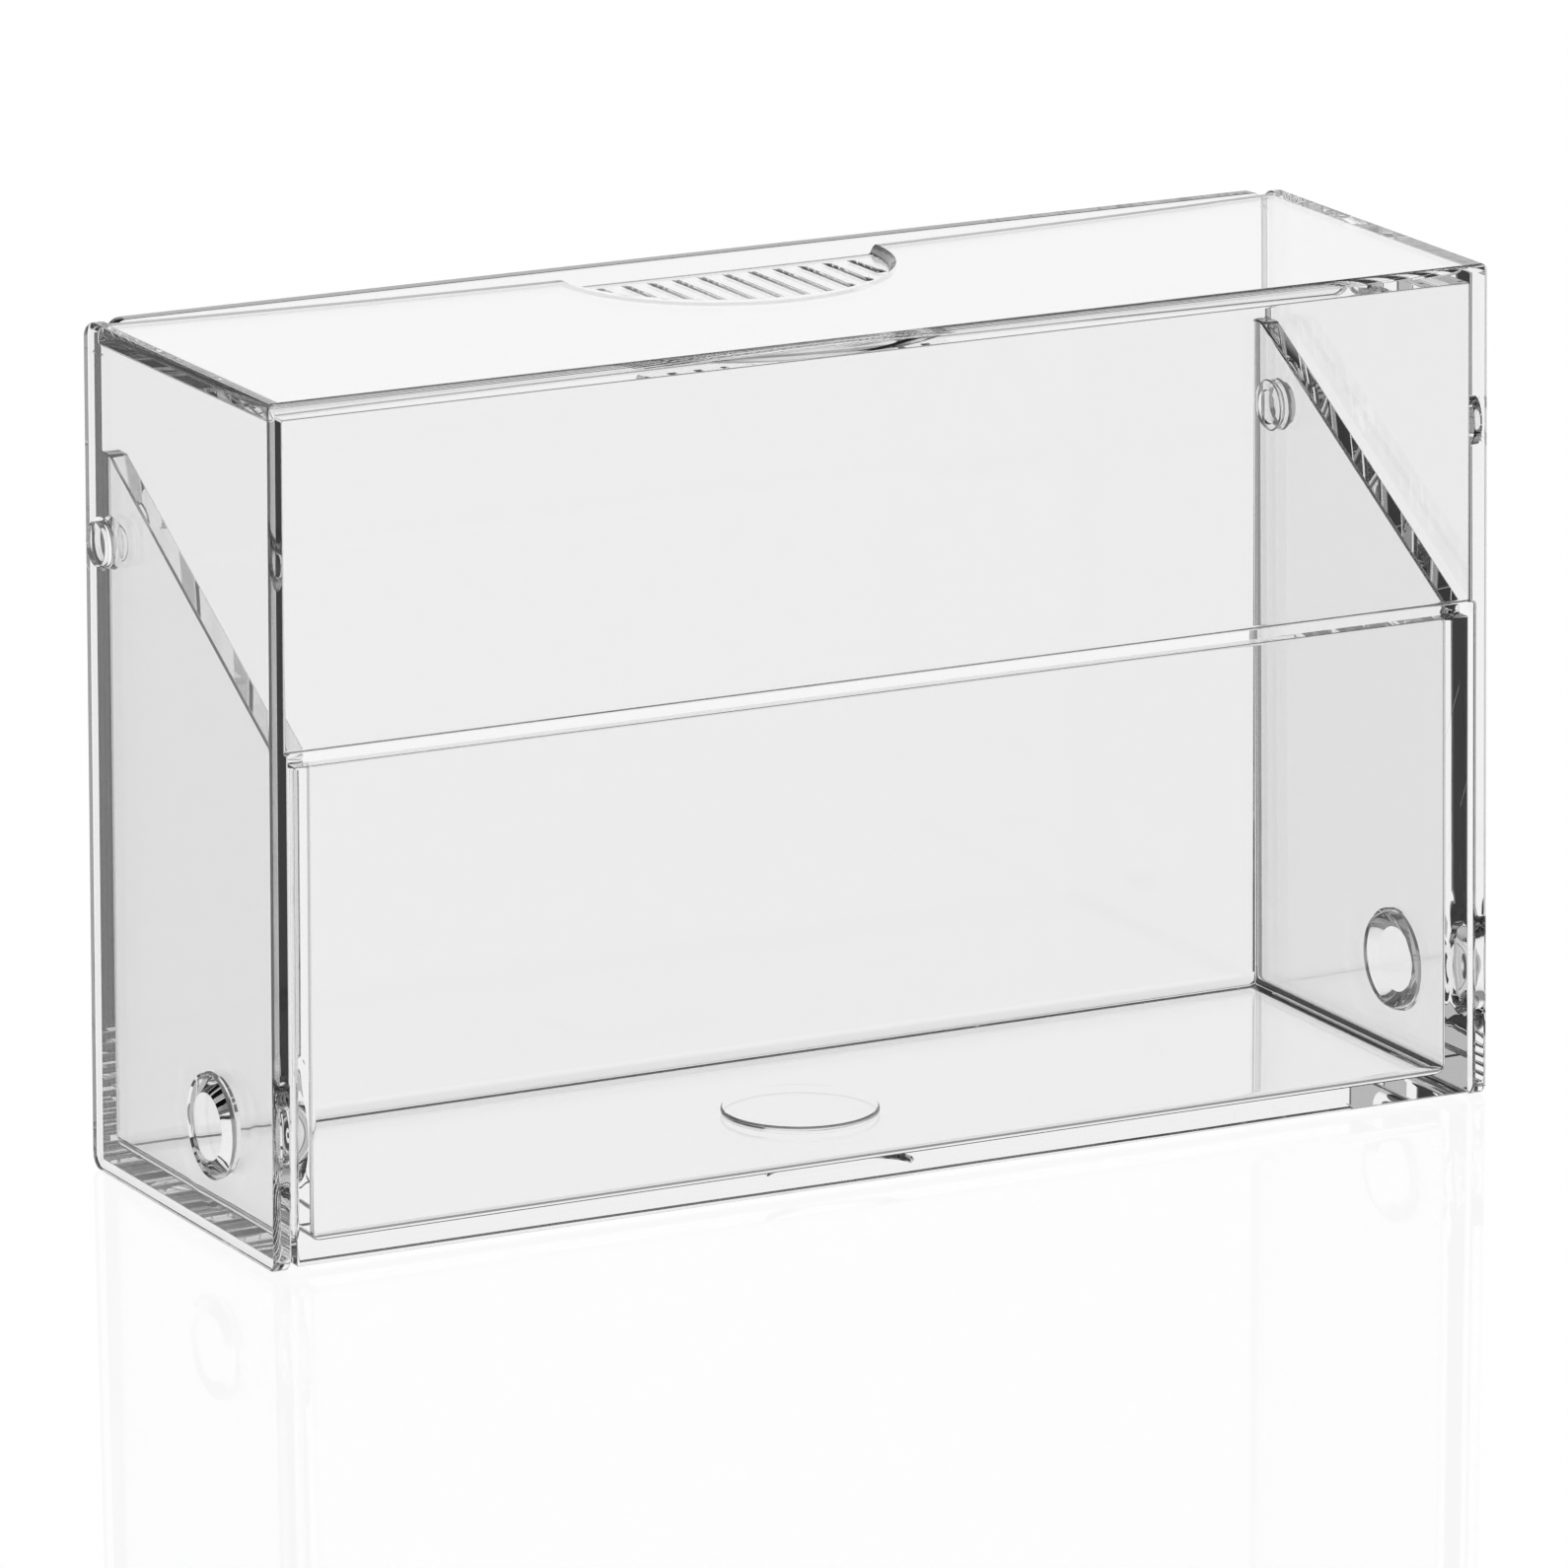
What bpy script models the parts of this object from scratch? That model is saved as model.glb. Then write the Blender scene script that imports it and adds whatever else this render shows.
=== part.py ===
"""A clear two-piece card deck box: a tray with a low front, and a cover that swings on it.

The box stands on the lower edges of the cover's side walls. X runs along the width, the
front faces -Y, and the origin is on the floor under the middle of the box.
"""
import math

import bmesh
import bpy
import numpy as np
from mathutils import Matrix

MM = 0.001

# Overall size: the cover's outside, with its width taken at the top.
WIDTH = 100.0 * MM
DEPTH = 32.3 * MM
HEIGHT = 64.4 * MM
DRAFT = 0.008  # how much each side wall leans out, per unit of height downwards

# Cover.
COVER_SIDE = 1.4 * MM
COVER_TOP = 1.4 * MM
COVER_FRONT = 1.3 * MM
COVER_CORNER = 1.2 * MM  # round corners of the side walls
TOP_REAR_GAP = 0.45 * MM  # from the top's rear edge to the tray's back wall, at the ends
TOP_REAR_BOW = 2.4 * MM  # how much further forward that edge is in the middle

# Thumb recess in the top, with its ribs.
THUMB_RADIUS = 13.2 * MM
THUMB_DEPTH = 0.7 * MM
RIB_REAR_MARGIN = 0.9 * MM  # from a rib's rear end to the top's rear edge
RIB_COUNT = 11
RIB_PITCH = 2.1 * MM
RIB_WIDTH = 0.8 * MM
RIB_HEIGHT = 0.4 * MM
RIB_FRONT_MARGIN = 1.6 * MM  # from a rib's front end to the recess's round wall

# Tray.
TRAY_SIDE = 1.5 * MM
TRAY_BACK = 1.4 * MM
TRAY_FRONT = 1.4 * MM
TRAY_FLOOR = 1.4 * MM
TRAY_LIFT = 0.4 * MM  # the tray's underside above the cover's lower edges
FRONT_TOP = 37.6 * MM  # height of the front wall's top edge
SIDE_STEP = 0.6 * MM  # how far the side walls' slope starts above the front wall
SIDE_REAR_TOP = 54.7 * MM  # height of the side walls where they meet the back wall
BACK_CORNER = 1.2 * MM  # round top corners of the back wall
DISC_RADIUS = 6.0 * MM
DISC_HEIGHT = 0.5 * MM

# Clearances between the two pieces.
SIDE_GAP = 0.3 * MM
JOINT_GAP = 1.0 * MM  # between the two front walls
PIVOT_GAP = 0.15 * MM

# Pivot: a round stud on the tray's side wall in a hole in the cover's.
PIVOT_FROM_FRONT = 11.3 * MM
PIVOT_HEIGHT = 8.4 * MM
STUD_RADIUS = 3.65 * MM
STUD_PROUD = 0.2 * MM
STUD_CHAMFER = 0.9 * MM

# Closing click: a nub through the cover's side wall that faces a dimple in the tray's.
CLICK_FROM_REAR = 2.9 * MM
CLICK_HEIGHT = 48.2 * MM
NUB_RADIUS = 1.75 * MM
NUB_PROUD = 0.5 * MM
NUB_INWARD = 0.15 * MM
DIMPLE_RADIUS = 1.95 * MM
DIMPLE_DEPTH = 0.4 * MM

ROUND_STEPS = 8  # segments in a quarter-round corner
CYLINDER_STEPS = 48
SHARP_ANGLE = math.radians(30)
PAST = 1.0 * MM  # how far a cutter runs past what it cuts

FRONT_Y = -DEPTH / 2
REAR_Y = DEPTH / 2
PIVOT_Y = FRONT_Y + PIVOT_FROM_FRONT
CLICK_Y = REAR_Y - CLICK_FROM_REAR
TOP_REAR_Y = REAR_Y - TRAY_BACK - TOP_REAR_GAP


def cover_half(z):
    """Half of the cover's outer width at height z."""
    return WIDTH / 2 + DRAFT * (HEIGHT - z)


def cover_inner_half(z):
    """Half of the clear width between the cover's side walls at height z."""
    return cover_half(z) - COVER_SIDE


def tray_half(z):
    """Half of the tray's outer width at height z."""
    return cover_inner_half(z) - SIDE_GAP


def tray_inner_half(z):
    """Half of the clear width inside the tray at height z."""
    return tray_half(z) - TRAY_SIDE


def clear_scene():
    for item in list(bpy.data.objects):
        bpy.data.objects.remove(item, do_unlink=True)


def clear_material(name, colour):
    """Clear polystyrene: glossy, faintly grey."""
    material = bpy.data.materials.new(name)
    material.use_nodes = True
    surface = material.node_tree.nodes["Principled BSDF"]
    surface.inputs["Base Color"].default_value = (*colour, 1.0)
    surface.inputs["Roughness"].default_value = 0.05
    surface.inputs["Metallic"].default_value = 0.0
    surface.inputs["Alpha"].default_value = 0.35
    return material


def shade_rounds(mesh_bm):
    """Smooth shading, kept sharp where two faces meet at more than SHARP_ANGLE."""
    for face in mesh_bm.faces:
        face.smooth = True
    for edge in mesh_bm.edges:
        edge.smooth = len(edge.link_faces) == 2 and edge.calc_face_angle() < SHARP_ANGLE


def add_object(name, mesh_bm, material=None):
    bmesh.ops.recalc_face_normals(mesh_bm, faces=mesh_bm.faces)
    shade_rounds(mesh_bm)
    mesh = bpy.data.meshes.new(name)
    mesh_bm.to_mesh(mesh)
    mesh_bm.free()
    item = bpy.data.objects.new(name, mesh)
    bpy.context.scene.collection.objects.link(item)
    if material:
        mesh.materials.append(material)
    return item


def add_cutter(name, mesh_bm):
    item = add_object(name, mesh_bm)
    item.hide_render = True
    item.display_type = "WIRE"
    return item


def apply_boolean(target, tool, operation):
    """Join to or cut from target what the hidden tool object holds."""
    modifier = target.modifiers.new(tool.name, "BOOLEAN")
    modifier.operation = operation
    modifier.object = tool
    modifier.solver = "EXACT"


def rounded_outline(corners):
    """The points of a closed outline; each corner is (y, z, radius)."""
    points = []
    for index, (y, z, radius) in enumerate(corners):
        here = np.array([y, z])
        if radius == 0:
            points.append(tuple(here))
            continue
        before = np.array(corners[index - 1][:2]) - here
        after = np.array(corners[(index + 1) % len(corners)][:2]) - here
        before /= np.linalg.norm(before)
        after /= np.linalg.norm(after)
        half_angle = math.acos(np.clip(before @ after, -1, 1)) / 2
        middle = (before + after) / np.linalg.norm(before + after)
        centre = here + middle * radius / math.sin(half_angle)
        start = here + before * radius / math.tan(half_angle) - centre
        end = here + after * radius / math.tan(half_angle) - centre
        first = math.atan2(start[1], start[0])
        sweep = math.atan2(end[1], end[0]) - first
        sweep = (sweep + math.pi) % (2 * math.pi) - math.pi
        for step in range(ROUND_STEPS + 1):
            angle = first + sweep * step / ROUND_STEPS
            points.append(tuple(centre + radius * np.array([math.cos(angle), math.sin(angle)])))
    return points


def joined_rings(rings):
    """A solid through closed rings of points, one after another, with both ends capped."""
    solid = bmesh.new()
    loops = [[solid.verts.new(point) for point in ring] for ring in rings]
    solid.faces.new(loops[0])
    solid.faces.new(list(reversed(loops[-1])))
    for loop, following in zip(loops, loops[1:]):
        for index in range(len(loop)):
            after = (index + 1) % len(loop)
            solid.faces.new((loop[index], following[index], following[after], loop[after]))
    return solid


def prism_across(outline, low_x, high_x):
    """A solid with a (y, z) outline, between the x that low_x and high_x give at each height."""
    low = [(low_x(z), y, z) for y, z in outline]
    high = [(high_x(z), y, z) for y, z in outline]
    return joined_rings([low, high])


def prism_up(outline, low_z, high_z):
    """A solid with an (x, y) outline, from low_z to high_z."""
    low = [(x, y, low_z) for x, y in outline]
    high = [(x, y, high_z) for x, y in outline]
    return joined_rings([low, high])


def turned_across(profile, y, z):
    """A solid turned about the line along X through (y, z); profile is (x, radius) pairs."""
    angles = [2 * math.pi * step / CYLINDER_STEPS for step in range(CYLINDER_STEPS)]
    rings = []
    for x, radius in profile:
        rings.append([(x, y + radius * math.cos(a), z + radius * math.sin(a)) for a in angles])
    return joined_rings(rings)


def box_outline(low_y, low_z, high_y, high_z):
    return [(low_y, low_z), (high_y, low_z), (high_y, high_z), (low_y, high_z)]


def make_tray(material):
    """The inner piece: floor, back wall, low front wall and sloping side walls."""
    low = TRAY_LIFT
    outline = box_outline(FRONT_Y, low, REAR_Y, HEIGHT)
    body = prism_across(outline, lambda z: -tray_half(z), tray_half)
    tray = add_object("card_tray", body, material)

    hollow = box_outline(FRONT_Y + TRAY_FRONT, low + TRAY_FLOOR, REAR_Y - TRAY_BACK, HEIGHT + PAST)
    cavity = prism_across(hollow, lambda z: -tray_inner_half(z), tray_inner_half)
    apply_boolean(tray, add_cutter("tray_cavity_cutter", cavity), "DIFFERENCE")

    reach = cover_half(0)
    slope_start_y = FRONT_Y + TRAY_FRONT
    sloping = rounded_outline([
        (FRONT_Y - PAST, FRONT_TOP, 0),
        (slope_start_y, FRONT_TOP, 0),
        (slope_start_y, FRONT_TOP + SIDE_STEP, SIDE_STEP / 2),
        (REAR_Y - TRAY_BACK, SIDE_REAR_TOP, 0),
        (REAR_Y - TRAY_BACK, HEIGHT + PAST, 0),
        (FRONT_Y - PAST, HEIGHT + PAST, 0),
    ])
    opening = prism_across(sloping, lambda z: -reach, lambda z: reach)
    apply_boolean(tray, add_cutter("tray_front_cutter", opening), "DIFFERENCE")

    for side in (-1, 1):
        corner = add_cutter(f"back_corner_cutter_{side}", back_corner(side))
        apply_boolean(tray, corner, "DIFFERENCE")
        dimple = add_cutter(f"dimple_cutter_{side}", click_dimple(side))
        apply_boolean(tray, dimple, "DIFFERENCE")
        stud = add_cutter(f"stud_{side}", pivot_stud(side))
        apply_boolean(tray, stud, "UNION")
    disc = add_cutter("floor_disc", floor_disc())
    apply_boolean(tray, disc, "UNION")
    return tray


def back_corner(side):
    """What is cut off a top corner of the back wall to leave it round."""
    across = side * tray_half(HEIGHT)
    centre_x = across - side * BACK_CORNER
    centre_z = HEIGHT - BACK_CORNER
    outline = [(across + side * PAST, HEIGHT + PAST), (centre_x, HEIGHT + PAST)]
    for step in range(ROUND_STEPS + 1):
        angle = math.pi / 2 * (1 - step / ROUND_STEPS)
        outline.append((centre_x + side * BACK_CORNER * math.cos(angle),
                        centre_z + BACK_CORNER * math.sin(angle)))
    outline.append((across + side * PAST, centre_z))
    near = [(x, REAR_Y - TRAY_BACK - PAST, z) for x, z in outline]
    far = [(x, REAR_Y + PAST, z) for x, z in outline]
    return joined_rings([near, far])


def click_dimple(side):
    face = tray_half(CLICK_HEIGHT)
    profile = [(side * (face - DIMPLE_DEPTH), DIMPLE_RADIUS), (side * (face + PAST), DIMPLE_RADIUS)]
    return turned_across(profile, CLICK_Y, CLICK_HEIGHT)


def pivot_stud(side):
    """A stud with a bevelled end, from inside the tray's wall to just past the cover's."""
    root = tray_half(PIVOT_HEIGHT) - TRAY_SIDE / 2
    end = cover_half(PIVOT_HEIGHT) + STUD_PROUD
    profile = [
        (side * root, STUD_RADIUS),
        (side * (end - STUD_CHAMFER), STUD_RADIUS),
        (side * end, STUD_RADIUS - STUD_CHAMFER),
    ]
    return turned_across(profile, PIVOT_Y, PIVOT_HEIGHT)


def floor_disc():
    """The low round pad in the middle of the tray's floor."""
    outline = []
    for step in range(CYLINDER_STEPS):
        angle = 2 * math.pi * step / CYLINDER_STEPS
        outline.append((DISC_RADIUS * math.cos(angle), DISC_RADIUS * math.sin(angle)))
    floor = TRAY_LIFT + TRAY_FLOOR
    return prism_up(outline, floor - TRAY_FLOOR / 2, floor + DISC_HEIGHT)


def make_cover(material):
    """The outer piece: top, upper front wall and two full-height side walls."""
    cover = add_object("swing_cover", cover_side(-1), material)
    apply_boolean(cover, add_cutter("cover_side_1", cover_side(1)), "UNION")
    apply_boolean(cover, add_cutter("cover_top", cover_top()), "UNION")
    apply_boolean(cover, add_cutter("cover_front", cover_front()), "UNION")
    for side in (-1, 1):
        hole = add_cutter(f"pivot_hole_cutter_{side}", pivot_hole(side))
        apply_boolean(cover, hole, "DIFFERENCE")
        nub = add_cutter(f"nub_{side}", click_nub(side))
        apply_boolean(cover, nub, "UNION")
    apply_boolean(cover, add_cutter("thumb_cutter", thumb_recess()), "DIFFERENCE")
    for index in range(RIB_COUNT):
        rib = add_cutter(f"rib_{index}", thumb_rib(index))
        apply_boolean(cover, rib, "UNION")
    put_origin(cover, (0, PIVOT_Y, PIVOT_HEIGHT))
    return cover


def cover_side(side):
    outline = rounded_outline([
        (FRONT_Y, 0, COVER_CORNER),
        (REAR_Y, 0, COVER_CORNER),
        (REAR_Y, HEIGHT, COVER_CORNER),
        (FRONT_Y, HEIGHT, 0),
    ])
    return prism_across(outline, lambda z: side * cover_inner_half(z), lambda z: side * cover_half(z))


def top_rear(x):
    """The y of the top's bowed rear edge at x."""
    share = x / cover_inner_half(HEIGHT)
    return TOP_REAR_Y - TOP_REAR_BOW * (1 - share * share)


def cover_top():
    half = cover_inner_half(HEIGHT) + COVER_SIDE / 2
    steps = 4 * ROUND_STEPS
    across = np.linspace(half, -half, steps + 1)
    outline = [(-half, FRONT_Y), (half, FRONT_Y)]
    outline += [(x, top_rear(x)) for x in across]
    return prism_up(outline, HEIGHT - COVER_TOP, HEIGHT)


def cover_front():
    low = FRONT_TOP + JOINT_GAP
    outline = box_outline(FRONT_Y, low, FRONT_Y + COVER_FRONT, HEIGHT - COVER_TOP / 2)
    half = cover_inner_half(HEIGHT) + COVER_SIDE / 2
    return prism_across(outline, lambda z: -half, lambda z: half)


def pivot_hole(side):
    radius = STUD_RADIUS + PIVOT_GAP
    middle = cover_half(PIVOT_HEIGHT) - COVER_SIDE / 2
    profile = [(side * (middle - PAST), radius), (side * (middle + PAST), radius)]
    return turned_across(profile, PIVOT_Y, PIVOT_HEIGHT)


def click_nub(side):
    inner = cover_inner_half(CLICK_HEIGHT) - NUB_INWARD
    outer = cover_half(CLICK_HEIGHT) + NUB_PROUD
    profile = [(side * inner, NUB_RADIUS), (side * outer, NUB_RADIUS)]
    return turned_across(profile, CLICK_Y, CLICK_HEIGHT)


def thumb_recess():
    """A half-moon pocket that opens through the top's rear edge."""
    centre_y = top_rear(0)
    outline = []
    for step in range(2 * ROUND_STEPS + 1):
        angle = math.pi + math.pi * step / (2 * ROUND_STEPS)
        outline.append((THUMB_RADIUS * math.cos(angle), centre_y + THUMB_RADIUS * math.sin(angle)))
    outline += [(THUMB_RADIUS, REAR_Y), (-THUMB_RADIUS, REAR_Y)]
    return prism_up(outline, HEIGHT - THUMB_DEPTH, HEIGHT + PAST)


def thumb_rib(index):
    """A low rib in the recess, from near its round wall to near the rear edge."""
    middle = (index - (RIB_COUNT - 1) / 2) * RIB_PITCH
    centre_y = top_rear(0)
    reach = math.sqrt(THUMB_RADIUS ** 2 - middle ** 2) - RIB_FRONT_MARGIN
    low_y = centre_y - reach
    high_y = centre_y - RIB_REAR_MARGIN
    low_x = middle - RIB_WIDTH / 2
    high_x = middle + RIB_WIDTH / 2
    outline = [(low_x, low_y), (high_x, low_y), (high_x, high_y), (low_x, high_y)]
    floor = HEIGHT - THUMB_DEPTH
    return prism_up(outline, floor - THUMB_DEPTH / 2, floor + RIB_HEIGHT)


def put_origin(item, place):
    """Move an object's origin to place without moving its shape."""
    item.data.transform(Matrix.Translation([-value for value in place]))
    item.location = place


def main():
    clear_scene()
    make_tray(clear_material("tray_clear", (0.93, 0.94, 0.95)))
    make_cover(clear_material("cover_clear", (0.95, 0.96, 0.97)))


main()
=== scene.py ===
"""A clear two-piece card box in a white studio: a low-fronted tray and the cover that swings on it.

Lengths are in metres. X runs along the width, the low front faces -Y and Z is up. Both pieces
are made as closed solids of clear polystyrene, so that light bends and mirrors inside their walls.
"""
import math

import bpy
import numpy as np
from mathutils import Matrix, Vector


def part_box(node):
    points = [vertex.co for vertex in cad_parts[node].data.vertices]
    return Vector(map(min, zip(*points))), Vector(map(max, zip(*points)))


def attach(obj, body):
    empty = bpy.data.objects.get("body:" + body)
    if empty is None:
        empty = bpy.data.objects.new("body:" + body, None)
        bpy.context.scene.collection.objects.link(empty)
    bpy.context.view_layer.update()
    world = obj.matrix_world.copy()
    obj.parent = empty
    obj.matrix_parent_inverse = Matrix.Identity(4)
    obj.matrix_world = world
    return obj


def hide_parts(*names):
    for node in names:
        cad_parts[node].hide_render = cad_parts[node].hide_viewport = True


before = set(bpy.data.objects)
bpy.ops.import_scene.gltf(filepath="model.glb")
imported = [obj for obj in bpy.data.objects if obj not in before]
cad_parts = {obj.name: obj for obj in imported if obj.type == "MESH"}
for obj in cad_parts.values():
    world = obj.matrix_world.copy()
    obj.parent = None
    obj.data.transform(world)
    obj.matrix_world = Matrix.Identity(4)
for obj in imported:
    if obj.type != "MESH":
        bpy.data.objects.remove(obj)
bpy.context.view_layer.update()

MM = 0.001
cover_low, cover_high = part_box("swing_cover")
tray_low, tray_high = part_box("card_tray")
HEIGHT = cover_high.z
FRONT, REAR = cover_low.y, cover_high.y
DRAFT = 0.008
TOP_HALF = cover_high.x - DRAFT * HEIGHT

# Wall thicknesses and clearances.
COVER_SIDE = 1.28 * MM
COVER_TOP = 1.4 * MM
COVER_FRONT = 1.3 * MM
TRAY_SIDE = 1.5 * MM
TRAY_WALL = 1.4 * MM
SIDE_GAP = 0.42 * MM
TRAY_LIFT = tray_low.z

# Heights of the tray's front opening.
FRONT_TOP = 37.6 * MM
JOINT_GAP = 1.0 * MM
SLOPE_START = 38.2 * MM
SLOPE_END = 54.7 * MM

# Round features.
PIVOT = np.array([FRONT + 11.3 * MM, 8.4 * MM])
CLICK = np.array([REAR - 2.9 * MM, 48.2 * MM])
STUD = 3.65 * MM
HOLE = 3.8 * MM
NUB = 1.75 * MM
DISC = 6.0 * MM
DISC_RISE = 0.3 * MM
THUMB = 13.2 * MM
THUMB_DEPTH = 0.7 * MM
REAR_EDGE = REAR - 1.85 * MM
REAR_BOW = 2.4 * MM

# Ribs in the thumb recess.
RIBS = 11
RIB_PITCH = 2.1 * MM
RIB_HALF_WIDTH = 0.42 * MM
RIB_RISE = 0.13 * MM
RIB_RUN_DOWN = 0.7 * MM

# Rounds, and how far a cutter reaches past what it cuts.
TURN_STEPS = 96
FILLET = 0.18 * MM
COVER_ROUND = 0.55 * MM
TRAY_INSIDE = 0.9 * MM
CORNER = 1.2 * MM
ROOT = 0.7 * MM
PAST = 1.0 * MM

# Light and plastic.
POLYSTYRENE_IOR = 1.59
WAVE_HEIGHT = 6e-6
SWELL_HEIGHT = 4e-5
FRONT_SHADE = 0.3
LIGHT_BOUNCES = 32


def cover_half(z):
    """Half of the cover's outer width at height z: it leans out by DRAFT going down."""
    return TOP_HALF + DRAFT * (HEIGHT - z)


def tray_half(z):
    """Half of the tray's outer width at height z."""
    return cover_half(z) - COVER_SIDE - SIDE_GAP


def tray_inner(z):
    """Half of the tray's inside width at height z."""
    return tray_half(z) - TRAY_SIDE


# ---------------------------------------------------------------- shapes

def piece(name, verts, faces):
    """A new mesh object from arrays, with its faces turned outwards."""
    mesh = bpy.data.meshes.new(name)
    mesh.from_pydata(verts.tolist(), [], faces)
    mesh.update()
    item = bpy.data.objects.new(name, mesh)
    bpy.context.scene.collection.objects.link(item)
    if signed_volume(mesh) < 0:
        mesh.flip_normals()
    return item


def signed_volume(mesh):
    """Sum over triangles of a . (b x c) / 6, which is negative on a mesh turned inside out."""
    mesh.calc_loop_triangles()
    corners = np.zeros(len(mesh.loop_triangles) * 3, int)
    mesh.loop_triangles.foreach_get("vertices", corners)
    points = np.zeros(len(mesh.vertices) * 3)
    mesh.vertices.foreach_get("co", points)
    a, b, c = points.reshape(-1, 3)[corners].reshape(-1, 3, 3).transpose(1, 0, 2)
    return float((a * np.cross(b, c)).sum() / 6)


def carried(name, rings):
    """A profile carried along a path: rings[i, j] is point j of the profile at step i.

    Neighbouring steps are joined by four-sided faces and the first and last step are closed.
    """
    steps, count, _ = rings.shape
    i, j = np.meshgrid(np.arange(steps - 1), np.arange(count), indexing="ij")
    here, beside = i * count + j, i * count + (j + 1) % count
    sides = np.stack([here, beside, beside + count, here + count], -1).reshape(-1, 4)
    first, last = np.arange(count)[::-1], np.arange(count) + (steps - 1) * count
    return piece(name, rings.reshape(-1, 3), [*sides.tolist(), first.tolist(), last.tolist()])


def ring(name, rings):
    """A closed profile carried once round a closed path, back to its first step."""
    steps, count, _ = rings.shape
    i, j = np.meshgrid(np.arange(steps), np.arange(count), indexing="ij")
    after_i, after_j = (i + 1) % steps, (j + 1) % count
    quads = [i * count + j, i * count + after_j, after_i * count + after_j, after_i * count + j]
    return piece(name, rings.reshape(-1, 3), np.stack(quads, -1).reshape(-1, 4).tolist())


def rounded(corners, radii, steps=10):
    """A closed outline with each corner c turned into an arc of radius r.

    The arc's centre is c + m * r / sin(h), for the bisector m and half the corner's angle h, and
    the arc runs between the two points r / tan(h) away from c along the sides.
    """
    c = np.asarray(corners, float)
    r = np.asarray(radii, float)
    back = np.roll(c, 1, 0) - c
    ahead = np.roll(c, -1, 0) - c
    back /= np.linalg.norm(back, axis=1)[:, None]
    ahead /= np.linalg.norm(ahead, axis=1)[:, None]
    h = np.arccos(np.clip((back * ahead).sum(1), -1, 1)) / 2
    m = back + ahead
    m /= np.linalg.norm(m, axis=1)[:, None]
    centre = c + m * (r / np.sin(h))[:, None]
    start = c + back * (r / np.tan(h))[:, None] - centre
    end = c + ahead * (r / np.tan(h))[:, None] - centre
    first = np.arctan2(start[:, 1], start[:, 0])
    sweep = (np.arctan2(end[:, 1], end[:, 0]) - first + np.pi) % (2 * np.pi) - np.pi
    angle = first[:, None] + sweep[:, None] * np.linspace(0, 1, steps + 1)
    arcs = centre[:, None] + r[:, None, None] * np.stack([np.cos(angle), np.sin(angle)], -1)
    kept = [arc if radius > 0 else arc[:1] for arc, radius in zip(arcs, r)]
    return np.concatenate(kept)


def across(name, outline, low_x, high_x):
    """A solid with a (y, z) outline, between the x that low_x(z) and high_x(z) give."""
    y, z = outline.T
    ends = [np.stack([np.broadcast_to(edge(z), y.shape), y, z], -1) for edge in (low_x, high_x)]
    return carried(name, np.stack(ends))


def upright(name, outline, low_z, high_z):
    """A solid with an (x, y) outline, from low_z to high_z."""
    ends = [np.column_stack([outline, np.full(len(outline), z)]) for z in (low_z, high_z)]
    return carried(name, np.stack(ends))


def turned(name, profile, centre):
    """A profile of (x, radius) turned about the line along X through centre = (y, z)."""
    angle = np.arange(TURN_STEPS) * 2 * np.pi / TURN_STEPS
    x, radius = np.asarray(profile, float).T
    y = centre[0] + radius[:, None] * np.cos(angle)
    z = centre[1] + radius[:, None] * np.sin(angle)
    return carried(name, np.stack([np.broadcast_to(x[:, None], y.shape), y, z], -1))


def slab(low_y, low_z, high_y, high_z):
    return np.array([(low_y, low_z), (high_y, low_z), (high_y, high_z), (low_y, high_z)])


def quarter_round(x, radius, size, steps=6):
    """The rounded end of a turned profile: a quarter circle of this size at (x, radius)."""
    angle = np.linspace(0, np.pi / 2, steps + 1)
    return np.column_stack([x - size * (1 - np.sin(angle)), radius - size * (1 - np.cos(angle))])


def finished(item, modifier_type, **settings):
    """Applies one modifier to a piece and gives it the resulting mesh."""
    modifier = item.modifiers.new(modifier_type, modifier_type)
    for key, value in settings.items():
        setattr(modifier, key, value)
    shape = bpy.data.meshes.new_from_object(item.evaluated_get(bpy.context.evaluated_depsgraph_get()))
    item.modifiers.clear()
    item.data = shape
    return item


def combined(item, operation, *tools):
    """Joins to a piece, or cuts from it, each of the tool solids, which are used up."""
    for tool in tools:
        finished(item, "BOOLEAN", operation=operation, object=tool, solver="EXACT")
        bpy.data.objects.remove(tool)
    return item


def rounded_edges(item, width, share):
    """Gives chosen edges a wide round: share(a, b) is each edge's part of the width, from its ends."""
    finished(item, "WELD", merge_threshold=1e-6)
    finished(item, "DECIMATE", decimate_type="DISSOLVE", angle_limit=math.radians(0.3))
    mesh = item.data
    points = np.zeros(len(mesh.vertices) * 3)
    mesh.vertices.foreach_get("co", points)
    ends = np.zeros(len(mesh.edges) * 2, int)
    mesh.edges.foreach_get("vertices", ends)
    a, b = points.reshape(-1, 3)[ends].reshape(-1, 2, 3).transpose(1, 0, 2)
    weights = mesh.attributes.new("bevel_weight_edge", "FLOAT", "EDGE")
    weights.data.foreach_set("value", share(a, b).astype(np.float32))
    finished(item, "BEVEL", width=width, segments=7, limit_method="WEIGHT", use_clamp_overlap=False)
    item.data.attributes.remove(item.data.attributes["bevel_weight_edge"])


def eased(item, width):
    """Rounds every edge that turns by more than 25 degrees with a small fillet."""
    finished(item, "WELD", merge_threshold=1e-6)
    finished(item, "DECIMATE", decimate_type="DISSOLVE", angle_limit=math.radians(0.3))
    return finished(item, "BEVEL", width=width, segments=4, limit_method="ANGLE",
                    angle_limit=math.radians(25), miter_outer="MITER_ARC", use_clamp_overlap=False)


def near(values, target):
    return np.abs(values - target) < 0.02 * MM


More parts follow.
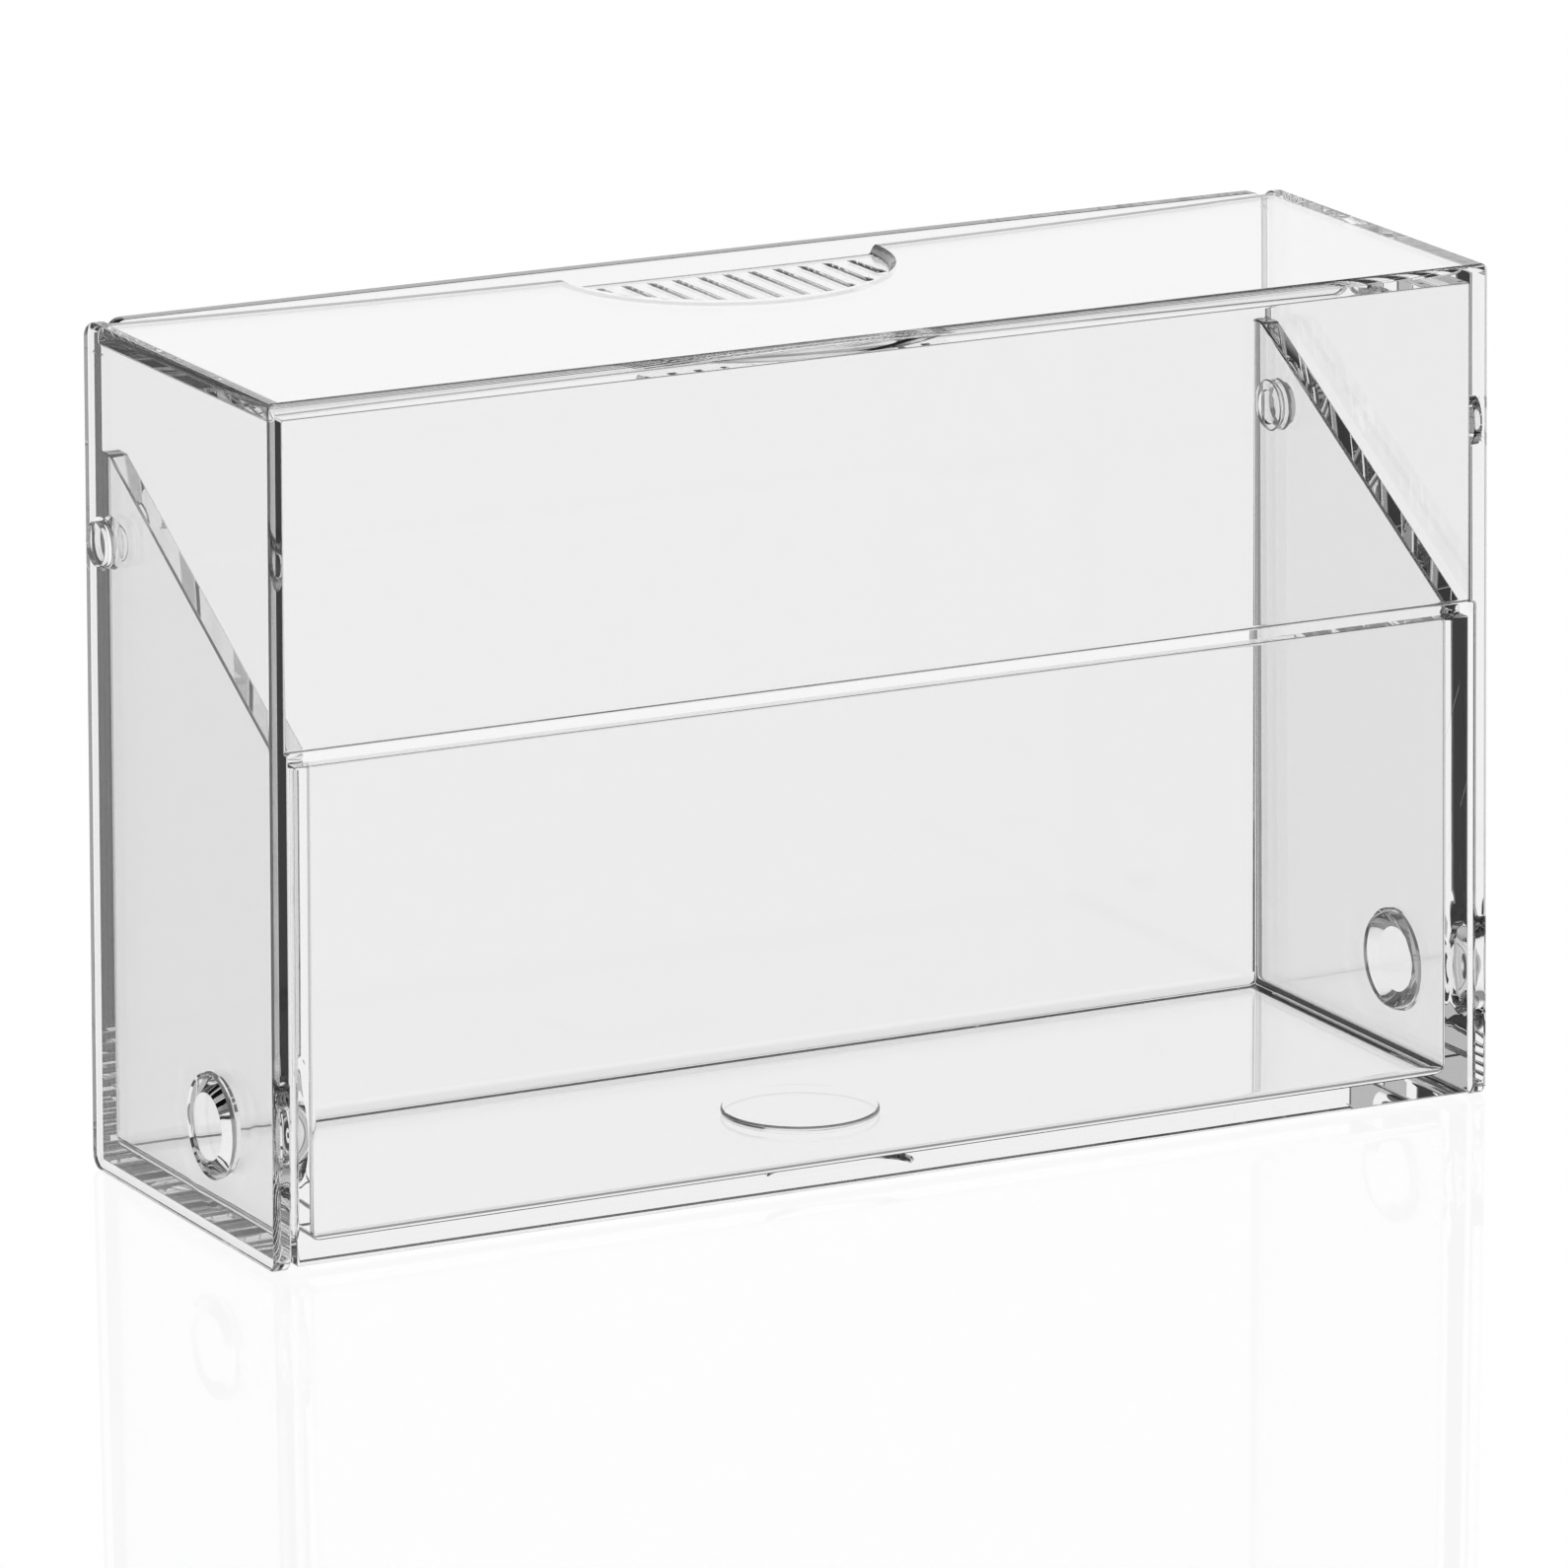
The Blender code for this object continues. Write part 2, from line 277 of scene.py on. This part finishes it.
def polished(item):
    """Smooth shading in which the flat faces keep their own direction."""
    finished(item, "WELD", merge_threshold=1e-6)
    finished(item, "DECIMATE", decimate_type="DISSOLVE", angle_limit=math.radians(0.3))
    item.data.shade_smooth()
    item.data.set_sharp_from_angle(angle=math.radians(40))
    return finished(item, "WEIGHTED_NORMAL", keep_sharp=True, weight=100)


# ---------------------------------------------------------------- tray

def make_tray():
    """Floor, full back wall, low front wall and sloping side walls, all one solid."""
    slope_y = FRONT + TRAY_WALL
    wall_y = REAR - TRAY_WALL
    tray = across("clear_tray", slab(FRONT, TRAY_LIFT, REAR, HEIGHT),
                  lambda z: -tray_half(z), tray_half)
    cavity = across("cavity", slab(slope_y, TRAY_LIFT + TRAY_WALL, wall_y, HEIGHT + PAST),
                    lambda z: -tray_inner(z), tray_inner)
    opening = rounded(
        [(FRONT - PAST, FRONT_TOP), (slope_y, FRONT_TOP), (slope_y, SLOPE_START),
         (wall_y - 1.3 * MM, SLOPE_END), (wall_y, SLOPE_END), (wall_y, HEIGHT + PAST),
         (FRONT - PAST, HEIGHT + PAST)],
        [0, 0, 0.3 * MM, 1.2 * MM, 0, 0, 0])
    reach = TOP_HALF + 2 * MM
    front = across("front_cut", opening, lambda z: -reach, lambda z: reach)
    combined(tray, "DIFFERENCE", cavity, front, back_corner(-1), back_corner(1))
    rounded_edges(tray, TRAY_INSIDE, tray_corners)
    eased(tray, FILLET)
    combined(tray, "UNION", pivot_stud(-1), pivot_stud(1), floor_disc())
    combined(tray, "DIFFERENCE", click_dimple(-1), click_dimple(1), core_mark(-1), core_mark(1))
    return polished(tray)


def tray_corners(a, b):
    """The floor's four inside edges get the whole round, the upright inside edges half of it."""
    floor = near(a[:, 2], TRAY_LIFT + TRAY_WALL) & near(b[:, 2], TRAY_LIFT + TRAY_WALL)
    inner = np.ones(len(a), bool)
    for end in (a, b):
        by_side = near(np.abs(end[:, 0]), tray_inner(end[:, 2]))
        by_wall = near(end[:, 1], FRONT + TRAY_WALL) | near(end[:, 1], REAR - TRAY_WALL)
        inner &= by_side & by_wall
    upright_edge = inner & (np.abs(a[:, 2] - b[:, 2]) > 5 * MM)
    return np.where(floor, 1.0, np.where(upright_edge, 0.5, 0.0))


def back_corner(side):
    """The cut that leaves the back wall's top corner round."""
    edge = side * tray_half(HEIGHT)
    inside, outside = edge - side * 2 * CORNER, edge + side * PAST
    below, above = HEIGHT - 2 * CORNER, HEIGHT + PAST
    outline = rounded(
        [(inside, above), (inside, HEIGHT), (edge, HEIGHT), (edge, below), (outside, below),
         (outside, above)],
        [0, 0, CORNER, 0, 0, 0])
    ends = [np.column_stack([outline[:, 0], np.full(len(outline), y), outline[:, 1]])
            for y in (REAR - TRAY_WALL - PAST, REAR + PAST)]
    return carried("back_corner", np.stack(ends))


def pivot_stud(side):
    """A stud with a bevelled end, rooted in the tray's side wall: its profile is turned about X."""
    root = tray_half(PIVOT[1]) - TRAY_SIDE / 2
    end = cover_half(PIVOT[1]) + 0.2 * MM
    bevel = 1.05 * MM
    profile = [(root, STUD), (end - bevel - 0.12 * MM, STUD), (end - bevel, STUD - 0.05 * MM),
               (end - 0.12 * MM, STUD - bevel + 0.05 * MM), (end, STUD - bevel - 0.08 * MM)]
    return turned("stud", np.array(profile) * (side, 1), PIVOT)


def floor_disc():
    """The low round pad in the middle of the floor, with a rounded rim."""
    angle = np.arange(TURN_STEPS) * 2 * np.pi / TURN_STEPS
    floor = TRAY_LIFT + TRAY_WALL
    rim = np.linspace(0, np.pi / 2, 7)
    size = 0.2 * MM
    radius = np.concatenate([[DISC], DISC - size * (1 - np.cos(rim))])
    z = np.concatenate([[floor - ROOT], floor + DISC_RISE - size * (1 - np.sin(rim))])
    return carried("disc", np.stack([radius[:, None] * np.cos(angle), radius[:, None] * np.sin(angle),
                                     np.broadcast_to(z[:, None], (len(z), TURN_STEPS))], -1))


def click_dimple(side):
    """The pocket in the tray's outer face that the cover's nub points into."""
    face = tray_half(CLICK[1])
    return turned("dimple", np.array([(face - 0.4 * MM, 1.9 * MM), (face - 0.05 * MM, 1.95 * MM),
                                      (face + PAST, 3.0 * MM)]) * (side, 1), CLICK)


def core_mark(side):
    """A shallow round mark on the inside of the tray's wall, behind the dimple."""
    face = tray_inner(CLICK[1])
    return turned("core_mark", np.array([(face - PAST, 1.45 * MM), (face + 0.05 * MM, 1.35 * MM),
                                         (face + 0.2 * MM, 1.25 * MM)]) * (side, 1),
                  CLICK - (0.6 * MM, 0))


# ---------------------------------------------------------------- cover

def make_cover():
    """Top, upper front wall and two full-height side walls, all one solid."""
    cover = side_wall(-1)
    inner = cover_half(HEIGHT) - COVER_SIDE
    root = inner + ROOT
    x = np.linspace(1, -1, 49)[:, None] * root
    rear = np.column_stack([x, bowed_rear(x)])
    ends = np.array([(-root, FRONT), (root, FRONT)])
    top = upright("top", np.concatenate([ends, rear]), HEIGHT - COVER_TOP, HEIGHT)
    front = across("front", slab(FRONT, FRONT_TOP + JOINT_GAP,
                                 FRONT + COVER_FRONT, HEIGHT - COVER_TOP / 2),
                   lambda z: -root, lambda z: root)
    combined(cover, "UNION", side_wall(1), top, front)
    rounded_edges(cover, COVER_ROUND, cover_corners)
    eased(cover, FILLET)
    combined(cover, "DIFFERENCE", thumb_recess(), pivot_hole(-1), pivot_hole(1))
    combined(cover, "UNION", *map(thumb_rib, range(RIBS)), click_nub(-1), click_nub(1))
    combined(cover, "DIFFERENCE", nub_groove(-1), nub_groove(1))
    return polished(cover)


def cover_corners(a, b):
    """The outside edges of the cover: a wide round where the walls, the top and the front meet.

    It narrows round the upper rear and lower front corners to a third, for the free edges.
    """
    by_side, by_top, by_front = (
        near(np.abs(a[:, 0]), cover_half(a[:, 2])) & near(np.abs(b[:, 0]), cover_half(b[:, 2])),
        near(a[:, 2], HEIGHT) & near(b[:, 2], HEIGHT),
        near(a[:, 1], FRONT) & near(b[:, 1], FRONT))
    y, z = (a[:, 1:] + b[:, 1:]).T / 2
    along_top = np.where(z > HEIGHT - CORNER, np.clip((REAR - y) / CORNER, 0, 1), 0)
    along_front = np.where(y < FRONT + CORNER, np.clip(z / CORNER, 0, 1), 0)
    outline = 0.33 + 0.67 * np.maximum(along_top, along_front)
    return np.where(by_side, outline, np.where(by_top & by_front, 1.0, 0.0))


def side_wall(side):
    """A full-height wall with round corners."""
    outline = rounded([(FRONT, 0), (REAR, 0), (REAR, HEIGHT), (FRONT, HEIGHT)],
                      [CORNER, CORNER, CORNER, 0])
    return across("clear_cover" if side < 0 else "side", outline,
                  lambda z: side * (cover_half(z) - COVER_SIDE), lambda z: side * cover_half(z))


def bowed_rear(x):
    """The top's rear edge: a parabola, REAR_BOW further forward in the middle than at the ends."""
    share = x / (TOP_HALF - COVER_SIDE)
    return REAR_EDGE - REAR_BOW * (1 - share ** 2)


def pivot_hole(side):
    """The stud's hole, flared a little at both rims."""
    outer = cover_half(PIVOT[1])
    inner = outer - COVER_SIDE
    flare = 0.15 * MM
    profile = [(inner - PAST, HOLE + flare + PAST), (inner + flare, HOLE), (outer - flare, HOLE),
               (outer + PAST, HOLE + flare + PAST)]
    return turned("hole", np.array(profile) * (side, 1), PIVOT)


def click_nub(side):
    """The closing nub: a short round peg through the wall, with a rounded outer end."""
    inner = cover_half(CLICK[1]) - COVER_SIDE - 0.15 * MM
    outer = cover_half(CLICK[1]) + 0.5 * MM
    profile = np.concatenate([[(inner, NUB - 0.2 * MM), (inner + 0.1 * MM, NUB)],
                              quarter_round(outer, NUB, 0.12 * MM)])
    return turned("nub", profile * (side, 1), CLICK)


def nub_groove(side):
    """The narrow ring-shaped groove round the nub: a small four-sided profile turned about X."""
    face = cover_half(CLICK[1])
    inner = NUB - 0.06 * MM
    corners = np.array([(face - 0.7 * MM, inner), (face + PAST, inner), (face + PAST, NUB + 0.6 * MM),
                        (face - 0.1 * MM, NUB + 0.22 * MM), (face - 0.7 * MM, NUB + 0.18 * MM)])
    angle = (np.arange(TURN_STEPS) + 0.5) * 2 * np.pi / TURN_STEPS
    x = np.broadcast_to(side * corners[:, 0], (len(angle), len(corners)))
    y = CLICK[0] + corners[:, 1] * np.cos(angle)[:, None]
    z = CLICK[1] + corners[:, 1] * np.sin(angle)[:, None]
    return ring("groove", np.stack([x, y, z], -1))


def thumb_recess():
    """A half-moon pocket at the top's rear edge: a half circle that grows from floor to rim.

    The radius follows a quarter circle out of the floor, a leaning wall, and a flare at the rim.
    """
    middle = bowed_rear(np.zeros(1))[0]
    angle = np.linspace(np.pi, 2 * np.pi, 65)
    bend = np.linspace(0, np.pi / 2, 6)
    foot = 0.25 * MM
    rise = np.concatenate([foot * (1 - np.cos(bend)), [THUMB_DEPTH - 0.15 * MM, THUMB_DEPTH, 2 * MM]])
    grow = np.concatenate([foot * np.sin(bend), [0.45 * MM, 0.6 * MM, 1.9 * MM]])
    radius = THUMB - 0.6 * MM + grow
    rings = np.stack([np.column_stack([
        np.concatenate([r * np.cos(angle), [r, -r]]),
        np.concatenate([middle + r * np.sin(angle), [REAR, REAR]]),
        np.full(len(angle) + 2, HEIGHT - THUMB_DEPTH + up)]) for r, up in zip(radius, rise)])
    return carried("recess", rings)


def thumb_rib(index):
    """A low rib in the recess: a half-round profile carried front to back, its ends run down."""
    x = (index - (RIBS - 1) / 2) * RIB_PITCH
    middle = bowed_rear(np.zeros(1))[0]
    low_y = middle - math.sqrt(THUMB ** 2 - x ** 2) + 1.8 * MM
    high_y = middle - 1.2 * MM
    floor = HEIGHT - THUMB_DEPTH
    along = np.linspace(0, 1, 17)
    run = np.clip(np.minimum(along, 1 - along) * (high_y - low_y) / RIB_RUN_DOWN, 0, 1)
    rise = RIB_RISE * np.sqrt(1 - (1 - run) ** 2) + 0.01 * MM
    bend = np.linspace(0, np.pi, 13)
    profile_x = np.concatenate([RIB_HALF_WIDTH * np.cos(bend), [-RIB_HALF_WIDTH, RIB_HALF_WIDTH]])
    lift = np.concatenate([np.sin(bend), [0, 0]])
    under = np.concatenate([np.zeros_like(bend), [-0.3 * MM, -0.3 * MM]])
    z = floor + rise[:, None] * lift + under
    rings = np.stack([
        np.broadcast_to(x + profile_x, z.shape),
        np.broadcast_to((low_y + (high_y - low_y) * along)[:, None], z.shape), z], -1)
    return carried("rib", rings)


# ---------------------------------------------------------------- shading

class Value:
    """A socket whose arithmetic adds Math nodes to its tree."""

    def __init__(self, shading, socket):
        self.shading, self.socket = shading, socket

    def math(self, operation, *others):
        return self.shading.node("ShaderNodeMath", {"operation": operation}, self, *others)

    def __add__(self, other):
        return self.math("ADD", other)

    def __mul__(self, other):
        return self.math("MULTIPLY", other)

    def __sub__(self, other):
        return self.math("SUBTRACT", other)

    def __rsub__(self, other):
        return self.shading.node("ShaderNodeMath", {"operation": "SUBTRACT"}, other, self)

    __radd__, __rmul__ = __add__, __mul__


class Shading:
    """Adds nodes to one material's or world's tree."""

    def __init__(self, owner):
        owner.use_nodes = True
        self.tree = owner.node_tree
        self.tree.nodes.clear()

    def node(self, kind, settings=None, *inputs, out=0, **named):
        """A node of a kind: its settings first, then its sockets' values or links.

        Gives one of its outputs as a value, or nothing for the tree's last node.
        """
        made = self.tree.nodes.new(kind)
        for key, value in (settings or {}).items():
            setattr(made, key, value)
        for key, value in [*enumerate(inputs), *((k.replace("_", " "), v) for k, v in named.items())]:
            socket = made.inputs[key]
            if isinstance(value, Value):
                self.tree.links.new(value.socket, socket)
            elif value is not None:
                socket.default_value = value
        return Value(self, made.outputs[out]) if len(made.outputs) else None

    def smooth_step(self, value, low, high, start=0.0, end=1.0):
        return self.node("ShaderNodeMapRange", {"interpolation_type": "SMOOTHSTEP"},
                         value, low, high, start, end)

    def parts(self, vector):
        """The three components of a vector, each as a value."""
        split = self.node("ShaderNodeSeparateXYZ", None, vector).socket.node
        return [Value(self, component) for component in split.outputs]

    def grey(self, value):
        return self.node("ShaderNodeCombineColor", None, value, value, value)


def clear_polystyrene(name, tint, seed):
    """Clear moulded polystyrene: faint flow waves in the surface and sparse fine specks."""
    material = bpy.data.materials.new(name)
    shading = Shading(material)
    place = shading.node("ShaderNodeTexCoord", out=3)
    waves = shading.node("ShaderNodeTexNoise", {"noise_dimensions": "4D"}, place, seed, 60.0, 1.0, 0.4)
    y, z = shading.parts(place)[1:]
    from_pivot = shading.node("ShaderNodeMath", {"operation": "SQRT"},
                              (y - PIVOT[0]) * (y - PIVOT[0]) + (z - PIVOT[1]) * (z - PIVOT[1]))
    swell = shading.smooth_step(from_pivot, STUD + 0.2 * MM, STUD + 2.6 * MM, 1.0, 0.0)
    bump = shading.node("ShaderNodeBump", None, 1.0, 1.0, Height=waves * WAVE_HEIGHT + swell * SWELL_HEIGHT)
    specks = shading.node("ShaderNodeTexVoronoi", {"voronoi_dimensions": "4D"}, place, seed, 130.0)
    colour = shading.grey(shading.smooth_step(specks, 0.02, 0.03, 0.75 * tint, tint))
    surface = shading.node("ShaderNodeBsdfPrincipled", None, colour, Normal=bump, Roughness=0.0,
                           IOR=POLYSTYRENE_IOR, Transmission_Weight=1.0)
    shading.node("ShaderNodeOutputMaterial", None, surface)
    return material


def white_floor():
    """A plain white floor that glows evenly, with a faint mirror image of what stands on it.

    Light that has been mirrored inside the box passes it and sees the studio's shades instead.
    """
    material = bpy.data.materials.new("white_floor")
    shading = Shading(material)
    glow = shading.node("ShaderNodeEmission", None, (1, 1, 1, 1), 1.02)
    mirror = shading.node("ShaderNodeBsdfGlossy", None, Roughness=0.0)
    seen = shading.node("ShaderNodeMixShader", None, 0.09, glow, mirror)
    bounced = shading.node("ShaderNodeLightPath", out="Glossy Depth")
    open_below = shading.node("ShaderNodeBsdfTransparent")
    surface = shading.node("ShaderNodeMixShader", None, shading.smooth_step(bounced, 0.4, 0.6),
                           seen, open_below)
    shading.node("ShaderNodeOutputMaterial", None, surface)
    half = 4.0
    corners = np.array([(-half, -half, 0), (half, -half, 0), (half, half, 0), (-half, half, 0)])
    floor = piece("floor", corners, [[0, 1, 2, 3]])
    floor.data.materials.append(material)


def studio():
    """A white studio, with shades that only light mirrored inside the box sees.

    The shade is FRONT_SHADE in front, 0.5 on the left behind (nearly 0 for light guided along a
    wall, mirrored six times or more), 0.95 on the right behind, and 0.15 of that overhead.
    """
    world = bpy.data.worlds.new("studio")
    bpy.context.scene.world = world
    shading = Shading(world)
    direction = shading.node("ShaderNodeTexCoord", out=0)
    x, y, z = shading.parts(direction)
    bounces = shading.node("ShaderNodeLightPath", out="Glossy Depth")
    mirrored = shading.smooth_step(bounces, 0.4, 0.6)
    guided = shading.smooth_step(bounces, 5.4, 5.6)
    left = 0.5 - 0.48 * guided
    back = left + (0.95 - left) * shading.smooth_step(x, -0.25, 0.2)
    around = FRONT_SHADE + (back - FRONT_SHADE) * shading.smooth_step(y, -0.2, 0.2)
    overhead = shading.smooth_step(z, 0.35, 0.5, 1.0, 0.15)
    level = 1 + mirrored * (around * overhead - 1)
    sky = shading.node("ShaderNodeBackground", None, shading.grey(level), 1.0)
    shading.node("ShaderNodeOutputWorld", None, sky)


def studio_camera():
    """A long lens a metre away, turned round and tipped down by azimuth and elevation."""
    azimuth, elevation, roll = np.radians([-27.1612, 14.4357, -0.293])
    ahead = np.array([-math.sin(azimuth) * math.cos(elevation), math.cos(azimuth) * math.cos(elevation),
                      -math.sin(elevation)])
    right = np.cross(ahead, (0, 0, 1))
    right /= np.linalg.norm(right)
    up = np.cross(right, ahead)
    right, up = (right * math.cos(roll) + up * math.sin(roll),
                 up * math.cos(roll) - right * math.sin(roll))
    place = -0.1 * (0.0833 * right - 0.2956 * up + 9.4034 * ahead) + (0, FRONT, 0)
    data = bpy.data.cameras.new("camera")
    data.lens = 291.71
    data.sensor_width = 36
    data.clip_end = 20
    camera = bpy.data.objects.new("camera", data)
    bpy.context.scene.collection.objects.link(camera)
    turn = Matrix(np.column_stack([right, up, -ahead]).tolist()).to_4x4()
    camera.matrix_world = Matrix.Translation(place.tolist()) @ turn
    bpy.context.scene.camera = camera


# ---------------------------------------------------------------- scene

tray = make_tray()
tray.data.materials.clear()
tray.data.materials.append(clear_polystyrene("tray_plastic", 0.984, 1.0))
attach(tray, "tray")
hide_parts("card_tray")

cover = make_cover()
cover.data.materials.clear()
cover.data.materials.append(clear_polystyrene("cover_plastic", 0.994, 7.0))
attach(cover, "cover")
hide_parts("swing_cover")

white_floor()
studio()
studio_camera()
bpy.context.scene.view_settings.view_transform = "Standard"
for kind in ("max_bounces", "glossy_bounces", "transmission_bounces"):
    setattr(bpy.context.scene.cycles, kind, LIGHT_BOUNCES)
